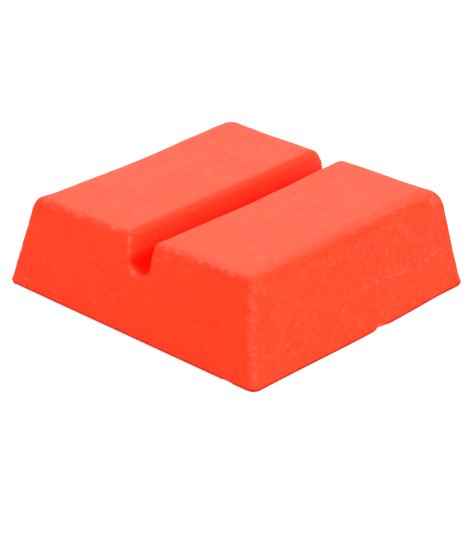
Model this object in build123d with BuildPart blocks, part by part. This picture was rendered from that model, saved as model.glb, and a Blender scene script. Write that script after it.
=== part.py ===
from build123d import *
import os
from math import cos, radians, sin, tan

# Rub-on wax block, poured into a tapered mould and turned out in one piece.
# Frame: millimetres, +Z up. The flat poured face is the base: it lies on Z = 0 with its centre at
# the origin. The groove runs along Y, so X crosses it from the left slab to the right slab.

# Block: widest at the base, and its sides lean in over the height, the left one the most
base_width = 60.0
base_depth = 55.4
block_height = 18.4
lean_left = 5.3
lean_right = 4.7
lean_front_and_back = 2.8
edge_radius = 2.1

# Groove: a round bottom and walls that open upwards, through the block from front to back
groove_centre_x = 1.4
groove_depth = 7.3
groove_bottom_radius = 2.35
groove_wall_angle = 4.5
groove_edge_radius = 1.2
cut_margin = 4.0

# The round bottom meets each wall a little below the arc's centre, where the two are tangent
arc_centre_height = block_height - groove_depth + groove_bottom_radius
seam_height = arc_centre_height - groove_bottom_radius * sin(radians(groove_wall_angle))
seam_half_width = groove_bottom_radius * cos(radians(groove_wall_angle))
cut_top = block_height + cut_margin
cut_half_width = seam_half_width + (cut_top - seam_height) * tan(radians(groove_wall_angle))


def lean_angle(lean):
    """Angle from upright, in degrees, of a side that leans in by this much over the height."""
    return Vector(0, block_height).get_angle(Vector(lean, block_height))


with BuildPart() as wax_block:
    Box(base_width, base_depth, block_height, align=(Align.CENTER, Align.CENTER, Align.MIN))
    for axis, low_side_lean, high_side_lean in (
        (Axis.X, lean_left, lean_right),
        (Axis.Y, lean_front_and_back, lean_front_and_back),
    ):
        draft(wax_block.faces().sort_by(axis)[0], Plane.XY, lean_angle(low_side_lean))
        draft(wax_block.faces().sort_by(axis)[-1], Plane.XY, lean_angle(high_side_lean))

    edges_above_base = wax_block.edges().filter_by(lambda edge: edge.center().Z > 0.1)
    fillet(edges_above_base, edge_radius)

    with BuildSketch(Plane.XZ) as groove_section:
        with BuildLine(Location((groove_centre_x, 0, 0))):
            round_bottom = ThreePointArc(
                (-seam_half_width, seam_height),
                (0, block_height - groove_depth),
                (seam_half_width, seam_height),
            )
            Polyline(
                round_bottom @ 1,
                (cut_half_width, cut_top),
                (-cut_half_width, cut_top),
                round_bottom @ 0,
            )
        make_face()
    extrude(amount=base_depth, both=True, mode=Mode.SUBTRACT)

    # The two top rims run on smoothly over the sides and round both ends of the groove, so a
    # fillet on them follows the groove's whole outline
    top_rims = wax_block.edges(Select.LAST).filter_by(Axis.Y).group_by(Axis.Z)[-1]
    fillet(top_rims, groove_edge_radius)

wax_block.part.label = "wax_block"

os.makedirs("parts", exist_ok=True)
export_step(wax_block.part, "parts/wax_block.step")
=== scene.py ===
import math

import bpy
import numpy as np
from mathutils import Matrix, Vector


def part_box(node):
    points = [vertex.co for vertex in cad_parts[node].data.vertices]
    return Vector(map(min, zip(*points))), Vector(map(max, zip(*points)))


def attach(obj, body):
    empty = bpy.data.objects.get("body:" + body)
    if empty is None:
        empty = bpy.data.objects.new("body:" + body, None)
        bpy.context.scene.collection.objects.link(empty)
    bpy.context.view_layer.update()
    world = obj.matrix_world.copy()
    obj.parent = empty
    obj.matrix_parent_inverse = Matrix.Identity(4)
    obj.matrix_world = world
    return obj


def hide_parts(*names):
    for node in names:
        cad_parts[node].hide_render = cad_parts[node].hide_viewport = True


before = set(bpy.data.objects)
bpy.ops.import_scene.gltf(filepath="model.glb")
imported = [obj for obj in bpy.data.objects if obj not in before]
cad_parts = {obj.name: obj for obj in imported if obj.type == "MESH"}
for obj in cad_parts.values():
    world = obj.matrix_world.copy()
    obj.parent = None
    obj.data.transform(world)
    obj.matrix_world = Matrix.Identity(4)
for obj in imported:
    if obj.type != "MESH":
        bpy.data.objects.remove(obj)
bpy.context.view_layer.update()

# The block is shaped in millimetres, in the frame of the CAD model, and written to Blender in metres.
# Left and right are -X and +X, front and back are -Y and +Y. A pair whose name ends in AT and an axis
# holds the centre and the reach of a smooth hill or step along it, for bump() or step_up().
MM = 0.001
BOX_LOW, BOX_HIGH = (np.array(corner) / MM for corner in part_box("wax_block"))
HALF_WIDTH = (BOX_HIGH[0] - BOX_LOW[0]) / 2
HALF_DEPTH = (BOX_HIGH[1] - BOX_LOW[1]) / 2
HEIGHT = BOX_HIGH[2]

# How far each side leans in over the height
LEAN = {"left": 5.3, "right": 4.0, "front": 2.8, "back": 2.84}

# Rounding of the four top edges, of the upright corners from base to top, and of the base edge
TOP_RADIUS = {"left": 2.85, "right": 2.55, "front": 1.0, "back": 3.3}
CORNER_RADIUS = {
    ("left", "front"): (1.0, 0.8),
    ("right", "front"): (1.7, 1.5),
    ("left", "back"): (1.4, 3.5),
    ("right", "back"): (1.5, 0.1),
}
BASE_RADIUS = 0.12

# Unevenness of the right side: it swells at the middle of its base, flares into a low lip near the
# back corner, and leans in less towards the front. The front leans in more towards its right end.
SWELL = 0.68
SWELL_AT_Y = (3.5, 19)
LIP = 0.35
LIP_AT_Y = (23, 1.2)
LIP_HEIGHT = 1.0
STEEPER_RIGHT = 1.0
STEEPER_AT_MINUS_Y = (2, 7)
FRONT_BEND = 0.3
FRONT_BEND_AT_X = (12, 6)

# Unevenness of the top: it lies lower than the box, tilted, twisted and sagging, with a wavy left
# edge and a raised back edge
TOP_DROP = 0.385
TILT_X = 0.0116
TILT_Y = 0.0023
TWIST = 0.0004
SAG = 0.057
LEFT_EDGE_WAVE = 0.21
LEFT_EDGE_WAVELENGTH = 42
LEFT_EDGE_AT_X = (-24, 6)
BACK_EDGE_RISE = 0.08
BACK_EDGE_AT_Y = (25, 4)

# Groove: it drifts to the left towards the back, and its right rim bows outwards
GROOVE_X = 1.5
GROOVE_DRIFT = 0.3
GROOVE_DRIFT_AT_Y = (8, 5)
GROOVE_BOW = 0.3
GROOVE_BOW_AT_Y = (-3, 13)
GROOVE_BOW_BLEND = 0.5
GROOVE_FLOOR = 11.1
GROOVE_BOTTOM_RADIUS = 2.35
GROOVE_WALL_ANGLE = math.radians(4.5)
GROOVE_LEFT_RIM_RADIUS = 1.3
GROOVE_RIGHT_RIM_RADIUS = 1.6
GROOVE_BACK_RIGHT_RIM_RADIUS = 0.8
GROOVE_BACK_AT_Y = (16, 3)
GROOVE_END_RADIUS = {"front": 0.5, "back": 2.0}

# Underside: the poured face shrinks into a shallow, slightly wavy dish inside a flat rim. The step
# between them is counted from the block's edge.
DISH_DEPTH = 0.3
DISH_STEP = (6, 1.3)

# Chips in the bottom edge. The long one starts steeply on the right side and runs out towards the
# back; the small one is in the front near the right corner.
LONG_CHIP_DEPTH = 0.5
LONG_CHIP_START_AT_Y = (2.7, 0.15)
LONG_CHIP_END_Y = 6.4
LONG_CHIP_RUN_OUT = 3.4
LONG_CHIP_AT_X = (28.9, 0.14)
SMALL_CHIP_DEPTH = 0.22
SMALL_CHIP_LEFT_AT_X = (22.2, 0.2)
SMALL_CHIP_RIGHT_AT_MINUS_X = (-24.7, 0.2)
SMALL_CHIP_AT_MINUS_Y = (27.1, 0.1)

# Surface: how deep the gentle ripples go and how deep the worn edges are nibbled. Both stop above
# the base edge, which stays flat on the floor. Each is a sum of coarse and fine random waves, given
# by wavelength, seed, number of waves and strength.
RIPPLE_DEPTH = 0.028
RIPPLE_WAVES = ((11, 5, 14, 0.6), (4.5, 6, 14, 0.4))
NIBBLE_DEPTH = 0.12
NIBBLE_WAVES = ((2.6, 8, 14, 0.5), (1.5, 9, 24, 0.5))
UNEVEN_AT_Z = (0.8, 0.12)

# Mesh: size of its faces, how often and how strongly it is evened out, and the step for its slopes
MESH_STEP = 0.37
EVENING_ROUNDS = 6
EVENING_SHARE = 0.6
SLOPE_STEP = 0.02

# How softly one side's rounding passes into the next side's at a corner
TOP_BLEND = 1.2
GROOVE_BLEND = 0.9
CORNER_BLEND = 3
RIM_BLEND = 0.7


# ---------------------------------------------------------------- smooth helpers

def bump(values, centre, reach):
    """Smooth hill of height 1 at the centre that dies out a few reaches away."""
    return np.exp(-(((values - centre) / reach) ** 2))


def step_up(values, centre, reach):
    """Smooth step from 0 to 1 around the centre."""
    return 1 / (1 + np.exp(-(values - centre) / reach))


def rounded_overlap(a, b, radius):
    """Signed distance outside what is inside both a and b, with the edge between them rounded."""
    past_a = np.maximum(a + radius, 0)
    past_b = np.maximum(b + radius, 0)
    return np.minimum(np.maximum(a, b), -radius) + np.hypot(past_a, past_b)


def blended(values, distances, reach):
    """Mean of the sides' values, in which the side that a point is nearest to counts most."""
    weights = {name: np.exp(np.clip(distances[name], -12, 3) / reach) for name in values}
    return sum(weights[name] * values[name] for name in values) / sum(weights.values())


def waves(points, wavelength, seed, count):
    """Smooth random field of about unit size: a sum of sine waves in random directions."""
    rng = np.random.default_rng(seed)
    directions = rng.normal(size=(count, 3))
    directions /= np.linalg.norm(directions, axis=1)[:, None]
    pitch = wavelength * rng.uniform(0.7, 1.6, count)
    phase = rng.uniform(0, 2 * math.pi, count)
    turns = points @ (directions / pitch[:, None]).T
    return np.sin(turns * 2 * math.pi + phase).sum(1) / math.sqrt(count / 2)


# ---------------------------------------------------------------- shape of the block

def side_distances(points):
    """Signed distance outside each of the four leaning sides."""
    x, y, z = points.T
    up = z / HEIGHT
    near_base = np.clip(1 - up, 0, 1) ** 2
    drawn_in = SWELL * (1 - bump(y, *SWELL_AT_Y) * near_base)
    lip = LIP * np.exp(-np.clip(z, 0, None) / LIP_HEIGHT) * step_up(y, *LIP_AT_Y)
    steeper = STEEPER_RIGHT * step_up(-y, *STEEPER_AT_MINUS_Y) * up
    outward = {
        "left": -x - HALF_WIDTH,
        "right": x - HALF_WIDTH + drawn_in - lip - steeper,
        "front": -y - HALF_DEPTH + FRONT_BEND * step_up(x, *FRONT_BEND_AT_X) * up,
        "back": y - HALF_DEPTH,
    }
    return {
        name: (outward[name] + lean * up) * math.cos(math.atan(lean / HEIGHT))
        for name, lean in LEAN.items()
    }


def corner_radius(points):
    """Rounding of the upright corners: each corner's own radius, which changes from base to top."""
    x, y, z = points.T
    up = np.clip(z / HEIGHT, 0, 1)
    rightness = step_up(x, 0, CORNER_BLEND)
    backness = step_up(y, 0, CORNER_BLEND)
    share = {"left": 1 - rightness, "right": rightness, "front": 1 - backness, "back": backness}
    return sum(
        share[across] * share[along] * (at_base + (at_top - at_base) * up)
        for (across, along), (at_base, at_top) in CORNER_RADIUS.items()
    )


def top_height(points):
    """Height of the top face."""
    x, y, _ = points.T
    warp = TILT_X * x + TILT_Y * y - TWIST * x * y - SAG * (y / HALF_DEPTH) ** 2
    wave = np.cos(2 * math.pi * y / LEFT_EDGE_WAVELENGTH)
    left_edge = -LEFT_EDGE_WAVE * wave * bump(x, *LEFT_EDGE_AT_X)
    back_edge = BACK_EDGE_RISE * bump(y, *BACK_EDGE_AT_Y)
    return HEIGHT - TOP_DROP + warp + left_edge + back_edge


def groove_distance(points):
    """Signed distance into the groove: positive inside it."""
    x, y, z = points.T
    from_middle = x - GROOVE_X + GROOVE_DRIFT * step_up(y, *GROOVE_DRIFT_AT_Y)
    rightness = step_up(from_middle, 0, GROOVE_BOW_BLEND)
    across = np.abs(from_middle) - GROOVE_BOW * bump(y, *GROOVE_BOW_AT_Y) * rightness
    rise = z - GROOVE_FLOOR - GROOVE_BOTTOM_RADIUS
    from_wall = across * math.cos(GROOVE_WALL_ANGLE) - rise * math.sin(GROOVE_WALL_ANGLE)
    along_wall = across * math.sin(GROOVE_WALL_ANGLE) + rise * math.cos(GROOVE_WALL_ANGLE)
    return GROOVE_BOTTOM_RADIUS - np.where(along_wall > 0, from_wall, np.hypot(across, rise))


def groove_edge_radius(points, sides, above_top):
    """Rounding of the groove's outline: the rims along the top, and the edges at its two ends."""
    rightness = step_up(points[:, 0], GROOVE_X, RIM_BLEND)
    backness = step_up(points[:, 1], *GROOVE_BACK_AT_Y)
    tightening = GROOVE_BACK_RIGHT_RIM_RADIUS - GROOVE_RIGHT_RIM_RADIUS
    right_rim = GROOVE_RIGHT_RIM_RADIUS + tightening * backness
    rims = GROOVE_LEFT_RIM_RADIUS + (right_rim - GROOVE_LEFT_RIM_RADIUS) * rightness
    values = {"top": rims, **GROOVE_END_RADIUS}
    return blended(values, {"top": above_top, **sides}, GROOVE_BLEND)


def base_height(points):
    """Height of the underside: a shallow dish inside a flat rim, and two chips in the bottom edge."""
    x, y, _ = points.T
    from_edge = np.minimum(HALF_WIDTH - np.abs(x), HALF_DEPTH - np.abs(y))
    wavy = 1 + 0.3 * np.sin(x / 6 + 1) * np.sin(y / 5 + 2)
    dish = DISH_DEPTH * step_up(from_edge, *DISH_STEP) * wavy
    run_out = np.clip((LONG_CHIP_END_Y - y) / LONG_CHIP_RUN_OUT, 0, 1)
    long_chip = step_up(y, *LONG_CHIP_START_AT_Y) * run_out * step_up(x, *LONG_CHIP_AT_X)
    small_chip = step_up(x, *SMALL_CHIP_LEFT_AT_X) * step_up(-x, *SMALL_CHIP_RIGHT_AT_MINUS_X)
    small_chip = small_chip * step_up(-y, *SMALL_CHIP_AT_MINUS_Y)
    return dish + LONG_CHIP_DEPTH * long_chip + SMALL_CHIP_DEPTH * small_chip


def block_distance(points):
    """Signed distance outside the whole block."""
    sides = side_distances(points)
    above_top = points[:, 2] - top_height(points)
    walls = rounded_overlap(
        np.maximum(sides["left"], sides["right"]),
        np.maximum(sides["front"], sides["back"]),
        corner_radius(points),
    )
    body = rounded_overlap(walls, above_top, blended(TOP_RADIUS, sides, TOP_BLEND))
    groove_edges = groove_edge_radius(points, sides, above_top)
    body = rounded_overlap(body, groove_distance(points), groove_edges)
    return rounded_overlap(body, base_height(points) - points[:, 2], BASE_RADIUS)


def distance_slopes(points):
    """Direction in which the distance grows, found by small differences."""
    slopes = np.empty_like(points)
    for axis in range(3):
        offset = np.zeros(3)
        offset[axis] = SLOPE_STEP
        difference = block_distance(points + offset) - block_distance(points - offset)
        slopes[:, axis] = difference / (2 * SLOPE_STEP)
    return slopes


def onto_surface(points, steps):
    """Moves points along the slope of the distance until they lie on the surface."""
    for _ in range(steps):
        slopes = distance_slopes(points)
        steepness = np.maximum((slopes**2).sum(1), 0.2)
        points = points - (block_distance(points) / steepness)[:, None] * slopes
    return points


def unit_normals(points):
    """Outward direction of the surface at each point."""
    slopes = distance_slopes(points)
    return slopes / np.linalg.norm(slopes, axis=1)[:, None]


# ---------------------------------------------------------------- wear and painted highlights of the edges

# Each worn edge: how pale it is, by wear and by a painted highlight, how deeply it is nibbled, how far
# the wear reaches, and its rounding
WORN_EDGES = {
    ("front", "top"): (0.85, 0.5, 0.7, 1.0),
    ("front", "right"): (0.75, 0.35, 0.95, 1.6),
    ("front", "left"): (0.4, 0.4, 0.4, 1.0),
    ("back", "top"): (0.4, 0.3, 0.8, 3.3),
    ("back", "left"): (0.5, 0.4, 0.5, 1.8),
    ("back", "right"): (0.4, 0.0, 0.5, 1.0),
    ("left", "top"): (0.3, 0.2, 0.8, 2.85),
    ("right", "top"): (0.2, 0.2, 0.9, 2.55),
    ("groove", "front"): (0.7, 0.5, 0.3, 0.5),
    ("groove", "back"): (0.3, 0.3, 0.6, 2.0),
}

# Places where the edges are paler: painted highlights below the groove's front mouth and up the
# mouth's left side, wear in a rubbed patch at the back right corner, and wear with a painted highlight
# along the groove's right rim. The mouth's edge is where the distances outside the front and into the
# groove have these two values.
MOUTH_EDGE = (-0.2, -0.15)
MOUTH_REACH = 0.55
MOUTH_LIP_HIGHLIGHT = 2.2
MOUTH_LIP_AT_X = (-0.2, 1.1)
MOUTH_LIP_AT_Z = (11.6, 1.1)
MOUTH_LEFT_HIGHLIGHT = 1.6
MOUTH_LEFT_AT_X = (-1.6, 1.2)
MOUTH_LEFT_AT_Z = (15.2, 2.6)
BACK_CORNER_WEAR = 1.2
BACK_CORNER_AT_X = (25.4, 1.8)
BACK_CORNER_AT_Y = (22.9, 1.6)
BACK_CORNER_AT_Z = (16.0, 1.2)
RIM_WEAR_AND_HIGHLIGHT = 0.6
RIM_WEAR_REACH = 0.4
RIM_SIDE_STEP = 0.3
FAR = 8


def face_distances(points):
    """Signed distance outside each side and the top, and into the groove."""
    faces = side_distances(points)
    faces["top"] = points[:, 2] - top_height(points)
    faces["groove"] = groove_distance(points)
    return faces


def middle_of_rounding(radius):
    """Signed distance of a rounded edge's middle from either of the faces that it joins."""
    return -radius * (1 - math.sqrt(0.5))


def near_edge(faces, pair, reach, radius):
    """Smooth hill along the middle of the rounded edge between two faces."""
    middle = middle_of_rounding(radius)
    from_middle = np.hypot(faces[pair[0]] - middle, faces[pair[1]] - middle)
    return bump(from_middle, 0, reach)


def edge_nibbling(points):
    """How much each point lies on a nibbled edge, from 0 to 1."""
    faces = face_distances(points)
    return np.maximum.reduce([
        nibbled * near_edge(faces, pair, reach, radius)
        for pair, (_, nibbled, reach, radius) in WORN_EDGES.items()
    ])


def right_rim_distance(points, faces):
    """Distance from the middle of the groove's right rim. It is made large left of the groove."""
    middle = middle_of_rounding(GROOVE_RIGHT_RIM_RADIUS)
    left_of_groove = 1 - step_up(points[:, 0], GROOVE_X, RIM_SIDE_STEP)
    return np.hypot(faces["groove"] - middle, faces["top"] - middle) + FAR * left_of_groove


def edge_wear_and_highlights(points):
    """How much each point lies on an edge made pale, partly by wear and partly by a painted highlight:
    about 0 to 1.
    """
    faces = face_distances(points)
    x, y, z = points.T
    mouth = np.hypot(faces["front"] - MOUTH_EDGE[0], faces["groove"] - MOUTH_EDGE[1])
    # Painted highlights where the rounded edges of the groove's front mouth catch the light
    mouth_lip = MOUTH_LIP_HIGHLIGHT * bump(x, *MOUTH_LIP_AT_X) * bump(z, *MOUTH_LIP_AT_Z)
    mouth_left = MOUTH_LEFT_HIGHLIGHT * bump(x, *MOUTH_LEFT_AT_X) * bump(z, *MOUTH_LEFT_AT_Z)
    back_corner = bump(x, *BACK_CORNER_AT_X) * bump(y, *BACK_CORNER_AT_Y) * bump(z, *BACK_CORNER_AT_Z)
    wear_and_highlight = [
        RIM_WEAR_AND_HIGHLIGHT * bump(right_rim_distance(points, faces), 0, RIM_WEAR_REACH),
        bump(mouth, 0, MOUTH_REACH) * np.maximum(mouth_lip, mouth_left),
        BACK_CORNER_WEAR * back_corner,
    ]
    for pair, (paleness, _, reach, radius) in WORN_EDGES.items():
        wear_and_highlight.append(paleness * near_edge(faces, pair, reach, radius))
    return np.maximum.reduce(wear_and_highlight)


# ---------------------------------------------------------------- mesh of the block

def even_mesh():
    """Copy of the CAD block, remeshed into small even faces."""
    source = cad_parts["wax_block"].data
    body = bpy.data.objects.new("wax_block_body", source.copy())
    bpy.context.collection.objects.link(body)
    remesh = body.modifiers.new("even", "REMESH")
    remesh.mode = "VOXEL"
    remesh.voxel_size = MESH_STEP * MM
    evaluated = body.evaluated_get(bpy.context.evaluated_depsgraph_get())
    mesh = bpy.data.meshes.new_from_object(evaluated)
    body.modifiers.clear()
    body.data = mesh
    return body


def read_points(mesh):
    """The vertices of a mesh, in millimetres."""
    flat = np.empty(len(mesh.vertices) * 3)
    mesh.vertices.foreach_get("co", flat)
    return flat.reshape(-1, 3) / MM


def neighbour_mean(mesh):
    """Function that gives each vertex the mean of its neighbours' values."""
    edges = np.empty(len(mesh.edges) * 2, dtype=int)
    mesh.edges.foreach_get("vertices", edges)
    near, far = edges.reshape(-1, 2).T
    total = len(mesh.vertices)
    counts = np.bincount(near, minlength=total) + np.bincount(far, minlength=total)

    def mean(values):
        columns = [
            np.bincount(near, column[far], total) + np.bincount(far, column[near], total)
            for column in values.T
        ]
        return np.stack(columns, axis=1) / counts[:, None]

    return mean


def unevenness(points):
    """Depth of the ripples all over the casting and of the nibbles along its worn edges."""
    ripples, bites = (
        1 + sum(strength * waves(points, *wave) for *wave, strength in kinds)
        for kinds in (RIPPLE_WAVES, NIBBLE_WAVES)
    )
    depth = RIPPLE_DEPTH * ripples + NIBBLE_DEPTH * edge_nibbling(points) * bites
    return depth.clip(0) * step_up(points[:, 2], *UNEVEN_AT_Z)


def make_block():
    """The block's mesh: an even mesh laid onto the exact shape, smoothed along it, then worn."""
    body = even_mesh()
    mesh = body.data
    points = read_points(mesh)
    mean = neighbour_mean(mesh)
    for _ in range(EVENING_ROUNDS):
        points = onto_surface(points, 1)
        points = points + EVENING_SHARE * (mean(points) - points)
    points = onto_surface(points, 3)
    points = points - unit_normals(points) * unevenness(points)[:, None]
    mesh.vertices.foreach_set("co", (points * MM).ravel())
    mesh.shade_smooth()
    mesh.update()
    return body


# ---------------------------------------------------------------- where the wax is worn, where shade and sheen are painted, and which way it faces

# Painted shade deepens the groove's colour at a step this far below the top, and it fades again at
# the open ends, over a reach that grows towards the groove's floor
GROOVE_SHADE_STEP = (4.5, 0.5)
END_LIGHTENING = 0.9
END_REACH = 0.45
END_REACH_GROWTH = 1.0
END_REACH_AT_Z = (11.2, 1.2)

# A point counts as on the top or on a side where its normal points that way: each pair is the centre
# and the reach of a step. The top, which gets a painted sheen, ends a little higher over the front part
# of the right edge.
TOP_NORMAL_STEP = (0.77, 0.035)
SIDE_NORMAL_STEP = (0.5, 0.06)
RIGHT_FRONT_NARROWING = 0.1
RIGHT_FRONT_AT_MINUS_Y = (0, 8)

# Steps, by the signed distance into the groove, to what belongs to its surface, and to what is near
# enough to it to be left out of the top and the sides
GROOVE_SURFACE_STEP = (-0.35, 0.08)
GROOVE_NEIGHBOUR_STEP = (-0.8, 0.2)

# Shares of the right side's scuffing on the left and the back, and of the top's painted sheen in the
# groove
LEFT_SCUFFING = 0.7
BACK_SCUFFING = 0.6
GROOVE_SHEEN = 0.6


def side_shares(points):
    """How much each point faces up and how much it faces each of the four sides, from 0 to 1."""
    normals = unit_normals(points)
    right_front = normals[:, 0].clip(0) * step_up(-points[:, 1], *RIGHT_FRONT_AT_MINUS_Y)
    return {
        "top": step_up(normals[:, 2] - RIGHT_FRONT_NARROWING * right_front, *TOP_NORMAL_STEP),
        "left": step_up(-normals[:, 0], *SIDE_NORMAL_STEP),
        "right": step_up(normals[:, 0], *SIDE_NORMAL_STEP),
        "front": step_up(-normals[:, 1], *SIDE_NORMAL_STEP),
        "back": step_up(normals[:, 1], *SIDE_NORMAL_STEP),
    }


def groove_shade(points):
    """How deep in the groove each point lies, as the share of painted shade that it gets, from 0 to 1.
    """
    sides = side_distances(points)
    depth = top_height(points) - points[:, 2]
    from_end = -np.maximum(sides["front"], sides["back"])
    end_reach = END_REACH + END_REACH_GROWTH * bump(points[:, 2], *END_REACH_AT_Z)
    lightening = END_LIGHTENING * bump(from_end, 0, end_reach)
    return step_up(depth, *GROOVE_SHADE_STEP) * inside_groove(points) * (1 - lightening)


def inside_groove(points):
    """How surely each point belongs to the groove's surface, from 0 to 1."""
    return step_up(groove_distance(points), *GROOVE_SURFACE_STEP)


def store_places(mesh):
    """Keeps, for the material, how much each vertex is worn or painted with an edge highlight, how much
    painted shade it gets deep in the groove, and how much it lies on one of the faces.
    """
    points = read_points(mesh)
    shares = side_shares(points)
    off_groove = 1 - step_up(groove_distance(points), *GROOVE_NEIGHBOUR_STEP)
    scuffed = shares["right"] + LEFT_SCUFFING * shares["left"] + BACK_SCUFFING * shares["back"]
    places = {
        "groove_shade": groove_shade(points),
        "wear_and_highlight": edge_wear_and_highlights(points),
        "on_right": shares["right"] * off_groove,
        "scuffed": scuffed * off_groove,
        # The painted sheen goes on what faces up and, at a share, on the groove's surface
        "on_top": np.maximum(shares["top"] * off_groove, GROOVE_SHEEN * inside_groove(points)),
        "on_front": shares["front"],
    }
    for name, values in places.items():
        attribute = mesh.attributes.new(name, "FLOAT", "POINT")
        attribute.data.foreach_set("value", values.astype(np.float32))


# ---------------------------------------------------------------- wax

WAX = (0.98, 0.040, 0.003, 1)
# Deeper red of the wax's own patches and grain, also used as painted shade deep in the groove
DEEP_WAX_AND_GROOVE_SHADE = (0.93, 0.002, 0.0001, 1)
# Pale colour of the wax's bloom, scuffs and specks, also used for the painted sheen on the top and the
# painted highlights on the edges
BLOOM_SHEEN_AND_HIGHLIGHT = (1.0, 0.27, 0.2, 1)
# Darker colour of the small pits
DARK_PIT_COLOUR = (0.45, 0.012, 0.002, 1)
# Painted shade along the base, where the block meets the floor
BASE_SHADE = (0.42, 0.01, 0.002, 1)

# Noises: cycles per millimetre, detail and roughness
MOTTLE = (0.16, 3.0, 0.55)
CLOUD = (0.55, 3.0, 0.6)
SPECKLE = (1.25, 3.0, 0.75)
GRAIN = (2.1, 2.0, 0.6)
FINE_GRAIN = (5.0, 1.0, 0.5)
RAGGED = (1.3, 3.0, 0.7)
BLOTCHES = (0.55, 4.0, 0.75)
WOBBLE = (2.6, 2.0, 0.7)
WAVINESS = (0.5, 1.0, 0.5)
DABS = (0.6, 4.0, 0.75)

# Random dots: cells per millimetre, radius in cells, and the share of the cells that have a dot
SPECKS = (0.62, 0.36, 0.5)
RANDOM_PITS = (0.16, 0.04, 0.3)

# The two values of a noise between which each look comes in
PATCH_RISE = (0.35, 0.7)
DARK_GRAIN_RISE = (0.5, 0.25)
HAZE_RISE = (0.45, 0.85)
TOP_SHEEN_RISE = (0.35, 0.75)
BLOTCH_RISE = (0.46, 0.84)
DAB_RISE = (0.42, 0.68)
DAB_GRAIN_RISE = (0.3, 0.6)
SATIN_RISE = (0.3, 0.7)

# How much deeper the colour is in patches and in the dark grain
PATCH_DEEPNESS = 0.12
DARK_GRAIN_DEEPNESS = 0.25

# How pale each kind of bloom, painted sheen, painted edge highlight and mark is, from its faintest to
# its strongest places
HAZE_PALENESS = (0.018, 0.138)
TOP_SHEEN_PALENESS = (0.105, 0.18)
BLOTCH_PALENESS = (0.022, 0.19)
DAB_PALENESS = (0.14, 0.5)
SPECK_PALENESS = (0.08, 0.2)
SIDE_MARK_PALENESS = 0.24
TOP_MARK_PALENESS = 0.32

# Shares that are left of the dabs between the grains, and of the blotches where there are no scuffs
DAB_SHARE = 0.6
BLOTCH_SHARE = 0.15

# Specks get paler towards the back and the top: the rise of half of Y plus the height, in
# millimetres, and their share of paleness before it
SPECK_RISE = (2.0, 20.0)
SPECK_LEAST = 0.3

# Raggedness of the marks' outlines, in shares of their size, and waviness of the scuff line, in
# millimetres
MARK_WOBBLE = 1.8
SCUFF_WAVE = 1.6

# How dark the painted shade line along the base and the pits are, and how many times darker the line on
# the right
BASE_LINE_DARKNESS = 0.62
BASE_LINE_MORE_ON_RIGHT = 1.25
PIT_DARKNESS = 0.7

# The painted shade line along the base fades out between these two heights, in millimetres, made ragged
# by a noise
BASE_LINE_FADE = (0.82, 0.55)
BASE_LINE_RAGGEDNESS = 0.5
BASE_LINE_TALLER_ON_FRONT = 0.12

# Gloss, and how the light spreads below the surface, in millimetres for red, green and blue
SPECULAR_LEVEL = 0.08
SATIN_ROUGHNESS = (0.44, 0.56)
BLOOM_DULLNESS = 0.5
GROOVE_DULLNESS = 0.45
SUBSURFACE_WEIGHT = 0.15
SUBSURFACE_RADIUS = (1.0, 0.3, 0.15)

# Strength of the bump, and the height of the surface texture for it, in millimetres
BUMP_STRENGTH = 0.6
GRAIN_HEIGHT = 0.075
FINE_GRAIN_HEIGHT = 0.03
CLOUD_HEIGHT = 0.05
PIT_HEIGHT = -0.12

# Pale scuffs and specks on the right side: place along Y, height, and the two half sizes
RIGHT_MARKS = (
    (-15.8, 7.8, 0.9, 0.25),
    (-13.8, 7.8, 0.8, 0.15),
    (1.6, 8.0, 2.0, 0.17),
    (4.8, 7.9, 0.35, 0.35),
    (8.3, 7.7, 1.5, 0.18),
    (11.6, 7.4, 1.8, 0.25),
    (16.6, 7.0, 0.35, 0.35),
    (18.3, 7.4, 0.5, 0.35),
    (20.4, 7.6, 1.3, 0.3),
    (22.7, 7.6, 0.9, 0.15),
    (-4.5, 5.9, 0.35, 0.3),
    (4.6, 2.7, 0.35, 0.3),
    (9.7, 2.4, 0.4, 0.3),
    (13.5, 1.1, 0.35, 0.25),
    (2.8, 10.9, 0.3, 0.28),
    (8.5, 11.4, 0.35, 0.3),
    (14.5, 13.1, 0.4, 0.32),
    (12.7, 15.1, 0.35, 0.3),
    (19.7, 10.5, 0.35, 0.3),
    (-4.8, 14.6, 0.3, 0.28),
    (-6.6, 3.7, 0.3, 0.28),
    (-18.4, 5.2, 0.35, 0.3),
)

# Small dark pits in the right side, in the same order
RIGHT_PITS = (
    (-17.0, 8.6, 0.2, 0.2),
    (13.0, 9.3, 0.2, 0.2),
    (-8.8, 3.2, 0.18, 0.18),
    (23.7, 3.1, 0.2, 0.2),
    (18.6, 13.2, 0.16, 0.16),
)

# Pale specks on the front: place along X, height, and the two half sizes
FRONT_MARKS = (
    (1.5, 11.0, 0.35, 0.3),
    (-8.2, 3.3, 0.35, 0.3),
    (-18.0, 2.1, 0.5, 0.15),
    (-25.5, 1.9, 0.5, 0.2),
    (-21.3, 6.9, 0.25, 0.25),
    (5.6, 15.2, 0.5, 0.4),
    (7.6, 16.3, 0.7, 0.3),
    (-19.9, 16.6, 0.6, 0.3),
    (-16.8, 17.1, 0.6, 0.25),
    (26.2, 11.9, 0.25, 0.3),
    (-13.0, 4.4, 0.25, 0.2),
)

# Pale smudges on the top: place along X and Y, and the two half sizes
TOP_MARKS = (
    (22.0, -17.4, 1.2, 0.45),
    (24.5, -16.8, 0.6, 0.3),
    (17.6, -0.2, 0.6, 0.4),
    (17.3, -4.6, 0.4, 0.3),
    (-16.7, -23.9, 0.8, 0.3),
    (-2.2, -23.9, 0.9, 0.35),
)

# Small dark pits in the top, in the same order
TOP_PITS = (
    (8.6, 5.2, 0.28, 0.28),
    (22.8, -2.4, 0.28, 0.25),
    (13.6, 11.2, 0.2, 0.2),
    (-16.9, -16.4, 0.25, 0.22),
    (20.3, -4.7, 0.2, 0.2),
)


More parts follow.
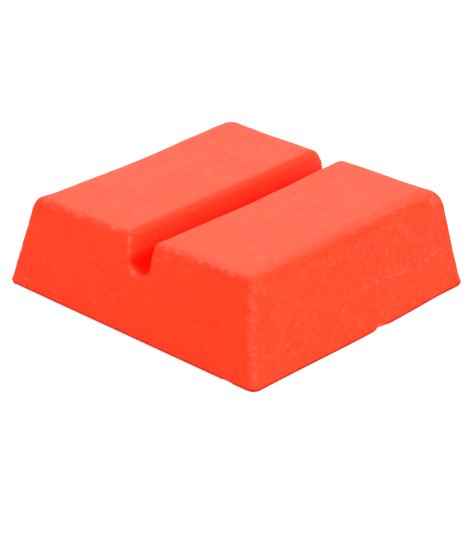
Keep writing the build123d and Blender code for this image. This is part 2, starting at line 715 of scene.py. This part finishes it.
class Nodes:
    """Short way to write a material's node tree."""

    def __init__(self, name):
        self.material = bpy.data.materials.new(name)
        self.material.use_nodes = True
        self.tree = self.material.node_tree
        self.shader = self.tree.nodes["Principled BSDF"]

    def add(self, kind, settings=None, **inputs):
        """Adds a node. An input is named in words with underscores, or by its number as _0, _1."""
        node = self.tree.nodes.new(kind)
        for name, value in (settings or {}).items():
            setattr(node, name, value)
        for name, value in inputs.items():
            number = name[1:]
            socket = int(number) if number.isdigit() else name.replace("_", " ")
            self.put(node.inputs[socket], value)
        return node

    def put(self, socket, value):
        """Links another node's output into a socket, or sets it to a plain value."""
        if isinstance(value, bpy.types.NodeSocket):
            self.tree.links.new(value, socket)
        else:
            socket.default_value = value

    def math(self, operation, a, b=0.0, c=0.0, clamp=False):
        settings = {"operation": operation, "use_clamp": clamp}
        return self.add("ShaderNodeMath", settings, _0=a, _1=b, _2=c).outputs[0]

    def times(self, a, b):
        return self.math("MULTIPLY", a, b)

    def vector(self, operation, *inputs, **named):
        numbered = {f"_{number}": value for number, value in enumerate(inputs)}
        return self.add("ShaderNodeVectorMath", {"operation": operation}, **numbered, **named).outputs[0]

    def noise(self, position, kind):
        scale, detail, roughness = kind
        settings = {"Scale": scale, "Detail": detail, "Roughness": roughness}
        return self.add("ShaderNodeTexNoise", Vector=position, **settings).outputs["Fac"]

    def ramp(self, value, low, high, out_low=0.0, out_high=1.0):
        """Smooth rise from one output value to another as the value goes from low to high."""
        node = self.add(
            "ShaderNodeMapRange", {"interpolation_type": "SMOOTHSTEP"},
            _0=value, _1=low, _2=high, _3=out_low, _4=out_high,
        )
        return node.outputs[0]

    def blend(self, share, colour, other):
        settings = {"data_type": "RGBA", "blend_type": "MIX"}
        return self.add("ShaderNodeMix", settings, _0=share, _6=colour, _7=other).outputs[2]

    def attribute(self, name):
        return self.add("ShaderNodeAttribute", {"attribute_name": name}).outputs["Fac"]

    def dots(self, position, kind):
        """Small round dots in some of the cells round a field of random points."""
        scale, radius, share = kind
        cells = self.add("ShaderNodeTexVoronoi", Vector=position, Scale=scale)
        random_number = self.add("ShaderNodeSeparateColor", Color=cells.outputs["Color"]).outputs[0]
        chosen = self.math("LESS_THAN", random_number, share)
        return self.times(self.ramp(cells.outputs["Distance"], radius, radius * 0.35), chosen)

    def ovals(self, across, up, marks, wobble=0.0):
        """Soft ovals with ragged outlines at the given places of a flat side."""
        total = 0.0
        for place, height, half_length, half_height in marks:
            along = self.math("MULTIPLY_ADD", across, 1 / half_length, -place / half_length)
            above = self.math("MULTIPLY_ADD", up, 1 / half_height, -height / half_height)
            squares = self.math("ADD", self.times(along, along), self.times(above, above))
            distance = self.math("ADD", self.math("SQRT", squares), wobble)
            total = self.math("MAXIMUM", total, self.ramp(distance, 1.3, 0.5))
        return total


class Wax(Nodes):
    """Fluorescent wax: mottled, with fine grain, pale bloom, scuffs, worn edges and a deep groove, and
    with painted sheen on the top, painted highlights on the worn edges and painted shade in the groove
    and along the base.
    """

    def __init__(self):
        super().__init__("wax")
        metres = self.add("ShaderNodeTexCoord").outputs["Object"]
        self.position = self.vector("SCALE", metres, Scale=1 / MM)
        self.x, self.y, self.z = self.add("ShaderNodeSeparateXYZ", Vector=self.position).outputs
        self.flattened = self.vector("MULTIPLY", self.position, (1, 1, 1.6))
        self.cloud = self.noise(self.position, CLOUD)
        self.speckle = self.noise(self.flattened, SPECKLE)
        self.grain = self.noise(self.position, GRAIN)
        self.groove_shade = self.attribute("groove_shade")
        self.on_right = self.attribute("on_right")
        self.on_top = self.attribute("on_top")
        self.on_front = self.attribute("on_front")
        self.scuffed = self.attribute("scuffed")

        pale = self.paleness()
        pits = self.pits()
        self.put(self.shader.inputs["Base Color"], self.colour(pale, pits))
        self.put(self.shader.inputs["Roughness"], self.roughness(pale))
        self.put(self.shader.inputs["Normal"], self.texture(pits))
        self.shader.inputs["Specular IOR Level"].default_value = SPECULAR_LEVEL
        self.shader.inputs["Subsurface Weight"].default_value = SUBSURFACE_WEIGHT
        self.shader.inputs["Subsurface Radius"].default_value = SUBSURFACE_RADIUS
        self.shader.inputs["Subsurface Scale"].default_value = MM

    def deepness_and_groove_shade(self):
        """Where the colour is deeper: painted shade deep in the groove, and the wax's own broad patches
        and dark grain.
        """
        patches = self.ramp(self.noise(self.position, MOTTLE), *PATCH_RISE, 0.0, PATCH_DEEPNESS)
        dark_grain = self.ramp(self.speckle, *DARK_GRAIN_RISE, 0.0, DARK_GRAIN_DEEPNESS)
        return self.math("ADD", self.math("ADD", self.groove_shade, patches), dark_grain, clamp=True)

    def base_shade_line(self):
        """Thin ragged line of painted shade along the base, where the block meets the floor, taller on
        the front and darker on the right.
        """
        ragged = self.times(self.noise(self.position, RAGGED), BASE_LINE_RAGGEDNESS)
        height = self.math("MULTIPLY_ADD", self.on_front, -BASE_LINE_TALLER_ON_FRONT, self.z)
        height = self.math("ADD", height, ragged)
        line = self.ramp(height, *BASE_LINE_FADE, 0.0, BASE_LINE_DARKNESS)
        return self.times(line, self.ramp(self.on_right, 0.0, 1.0, 1.0, BASE_LINE_MORE_ON_RIGHT))

    def specks(self):
        """Pale specks, palest on the upper back part of the scuffed sides."""
        back_and_up = self.math("MULTIPLY_ADD", self.y, 0.5, self.z)
        towards_back_top = self.ramp(back_and_up, *SPECK_RISE, SPECK_LEAST, 1.0)
        strength = self.times(self.ramp(self.scuffed, 0.0, 1.0, *SPECK_PALENESS), towards_back_top)
        return self.times(self.dots(self.position, SPECKS), strength)

    def marks(self):
        """The scuffs, specks and smudges that have a place of their own."""
        wobble_noise = self.noise(self.position, WOBBLE)
        wobble = self.math("MULTIPLY_ADD", wobble_noise, MARK_WOBBLE, -MARK_WOBBLE / 2)
        lowered_z = self.math("SUBTRACT", self.z, SCUFF_WAVE / 2)
        wave_noise = self.noise(self.position, WAVINESS)
        wavy_z = self.math("MULTIPLY_ADD", wave_noise, SCUFF_WAVE, lowered_z)
        right = self.times(self.ovals(self.y, wavy_z, RIGHT_MARKS, wobble), self.on_right)
        front_share = self.ramp(self.on_front, 0.0, 0.3)
        front = self.times(self.ovals(self.x, self.z, FRONT_MARKS, wobble), front_share)
        sides = self.times(self.math("MAXIMUM", right, front), SIDE_MARK_PALENESS)
        top_share = self.times(self.on_top, TOP_MARK_PALENESS)
        top = self.times(self.ovals(self.x, self.y, TOP_MARKS, wobble), top_share)
        return self.math("MAXIMUM", sides, top)

    def worn_edges_and_highlights(self):
        """Broken pale dabs along the worn edges, partly wear and partly painted highlights."""
        dabs = self.ramp(self.noise(self.position, DABS), *DAB_RISE, *DAB_PALENESS)
        grainy = self.times(dabs, self.ramp(self.grain, *DAB_GRAIN_RISE, DAB_SHARE, 1.0))
        return self.times(self.attribute("wear_and_highlight"), grainy)

    def paleness(self):
        """How much paleness lies on the wax: bloom, scuffs, specks and marks, painted sheen on the top,
        and worn edges with painted highlights. There is none deep in the groove, where its shade is
        painted.
        """
        haze = self.ramp(self.speckle, *HAZE_RISE, *HAZE_PALENESS)
        # Painted sheen on the top and, at a share, on the groove's surface
        top_sheen = self.times(self.ramp(self.grain, *TOP_SHEEN_RISE, *TOP_SHEEN_PALENESS), self.on_top)
        blotches = self.ramp(self.noise(self.flattened, BLOTCHES), *BLOTCH_RISE, *BLOTCH_PALENESS)
        scuffs = self.times(blotches, self.ramp(self.scuffed, 0.0, 1.0, BLOTCH_SHARE, 1.0))
        pale = self.math("ADD", self.math("ADD", haze, top_sheen), scuffs)
        for layer in (self.specks(), self.marks(), self.worn_edges_and_highlights()):
            pale = self.math("MAXIMUM", pale, layer)
        shallow = self.math("SUBTRACT", 1.0, self.groove_shade, clamp=True)
        return self.times(pale, self.times(shallow, shallow))

    def pits(self):
        """Small dark pits: a few that have a place of their own, and rare random ones."""
        top = self.times(self.ovals(self.x, self.y, TOP_PITS), self.on_top)
        right = self.times(self.ovals(self.y, self.z, RIGHT_PITS), self.on_right)
        placed = self.math("MAXIMUM", top, right)
        return self.math("MAXIMUM", self.dots(self.position, RANDOM_PITS), placed)

    def colour(self, pale, pits):
        # Painted shade deep in the groove, together with the wax's deeper patches and grain
        colour = self.blend(self.deepness_and_groove_shade(), WAX, DEEP_WAX_AND_GROOVE_SHADE)
        # Bloom, scuffs and marks, with the painted sheen and the painted edge highlights
        colour = self.blend(pale, colour, BLOOM_SHEEN_AND_HIGHLIGHT)
        # Painted shade along the base
        colour = self.blend(self.base_shade_line(), colour, BASE_SHADE)
        return self.blend(self.times(pits, PIT_DARKNESS), colour, DARK_PIT_COLOUR)

    def roughness(self, pale):
        """Satin, duller where there is bloom, painted sheen or a painted highlight, and in the groove.
        """
        satin = self.ramp(self.cloud, *SATIN_RISE, *SATIN_ROUGHNESS)
        duller = self.math("MULTIPLY_ADD", pale, BLOOM_DULLNESS, satin)
        return self.math("MULTIPLY_ADD", self.groove_shade, GROOVE_DULLNESS, duller, clamp=True)

    def texture(self, pits):
        """Normal with the grain and the pits, which are too small for the mesh."""
        fine_grain = self.noise(self.position, FINE_GRAIN)
        height = self.times(self.grain, GRAIN_HEIGHT)
        height = self.math("MULTIPLY_ADD", fine_grain, FINE_GRAIN_HEIGHT, height)
        height = self.math("MULTIPLY_ADD", self.cloud, CLOUD_HEIGHT, height)
        height = self.math("MULTIPLY_ADD", pits, PIT_HEIGHT, height)
        bump_node = self.add("ShaderNodeBump", Strength=BUMP_STRENGTH, Distance=MM, Height=height)
        return bump_node.outputs["Normal"]


block = make_block()
store_places(block.data)
block.data.materials.clear()
block.data.materials.append(Wax().material)
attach(block, "root")
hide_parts("wax_block")


# ---------------------------------------------------------------- floor, light and camera

FLOOR_HALF_SIZE = 4.0
FLOOR_GREY = 0.5
FLOOR_ROUGHNESS = 0.9
FLOOR_GLOW = 0.65
WORLD_LIGHT = 0.35

# Soft lights: azimuth from +X towards +Y, elevation, strength, and how wide the light's disc is
SOFT_SUNS = {
    "back": (133, 55, 3.7, 95),
    "right": (-10, 25, 1.7, 60),
    "front": (-115, 25, 0.25, 60),
}

# The camera stands to the right of the front and looks down a little
CAMERA_AZIMUTH = math.radians(43.05)
CAMERA_ELEVATION = math.radians(26.62)
CAMERA_DISTANCE = 356.9 * MM
CAMERA_LENS = 135.1
CAMERA_SENSOR_WIDTH = 36.0
CAMERA_CLIP_START = 0.01
AIM_POINT = Vector((-0.08, -0.07, 3.13)) * MM


def make_floor():
    """Plain pale floor, far larger than the block, that glows a little like a light table."""
    size = FLOOR_HALF_SIZE
    corners = [(-size, -size, 0), (size, -size, 0), (size, size, 0), (-size, size, 0)]
    mesh = bpy.data.meshes.new("floor")
    mesh.from_pydata(corners, [], [(0, 1, 2, 3)])
    floor = bpy.data.objects.new("floor", mesh)
    bpy.context.collection.objects.link(floor)
    material = bpy.data.materials.new("floor_white")
    material.use_nodes = True
    shader = material.node_tree.nodes["Principled BSDF"]
    shader.inputs["Base Color"].default_value = (FLOOR_GREY, FLOOR_GREY, FLOOR_GREY, 1)
    shader.inputs["Roughness"].default_value = FLOOR_ROUGHNESS
    shader.inputs["Emission Color"].default_value = (1, 1, 1, 1)
    shader.inputs["Emission Strength"].default_value = FLOOR_GLOW
    mesh.materials.append(material)


def direction(azimuth, elevation):
    """Unit vector towards an azimuth, from +X towards +Y, and an elevation, in radians."""
    level = math.cos(elevation)
    return Vector((math.cos(azimuth) * level, math.sin(azimuth) * level, math.sin(elevation)))


def make_lights():
    """Even white light from all around, and soft suns."""
    world = bpy.data.worlds.new("studio")
    world.use_nodes = True
    background = world.node_tree.nodes["Background"]
    background.inputs["Color"].default_value = (1, 1, 1, 1)
    background.inputs["Strength"].default_value = WORLD_LIGHT
    bpy.context.scene.world = world
    for name, (azimuth, elevation, strength, spread) in SOFT_SUNS.items():
        lamp = bpy.data.lights.new(name, "SUN")
        lamp.energy = strength
        lamp.angle = math.radians(spread)
        light = bpy.data.objects.new(name, lamp)
        towards_light = direction(math.radians(azimuth), math.radians(elevation))
        light.rotation_euler = towards_light.to_track_quat("Z", "Y").to_euler()
        bpy.context.collection.objects.link(light)


def make_camera():
    """Camera whose azimuth is counted from the front, -Y, towards the right."""
    data = bpy.data.cameras.new("camera")
    data.lens = CAMERA_LENS
    data.sensor_width = CAMERA_SENSOR_WIDTH
    data.clip_start = CAMERA_CLIP_START
    camera = bpy.data.objects.new("camera", data)
    camera.location = CAMERA_DISTANCE * direction(CAMERA_AZIMUTH - math.pi / 2, CAMERA_ELEVATION)
    camera.rotation_euler = (AIM_POINT - camera.location).to_track_quat("-Z", "Y").to_euler()
    bpy.context.collection.objects.link(camera)
    bpy.context.scene.camera = camera


make_floor()
make_lights()
make_camera()
bpy.context.scene.view_settings.view_transform = "Standard"
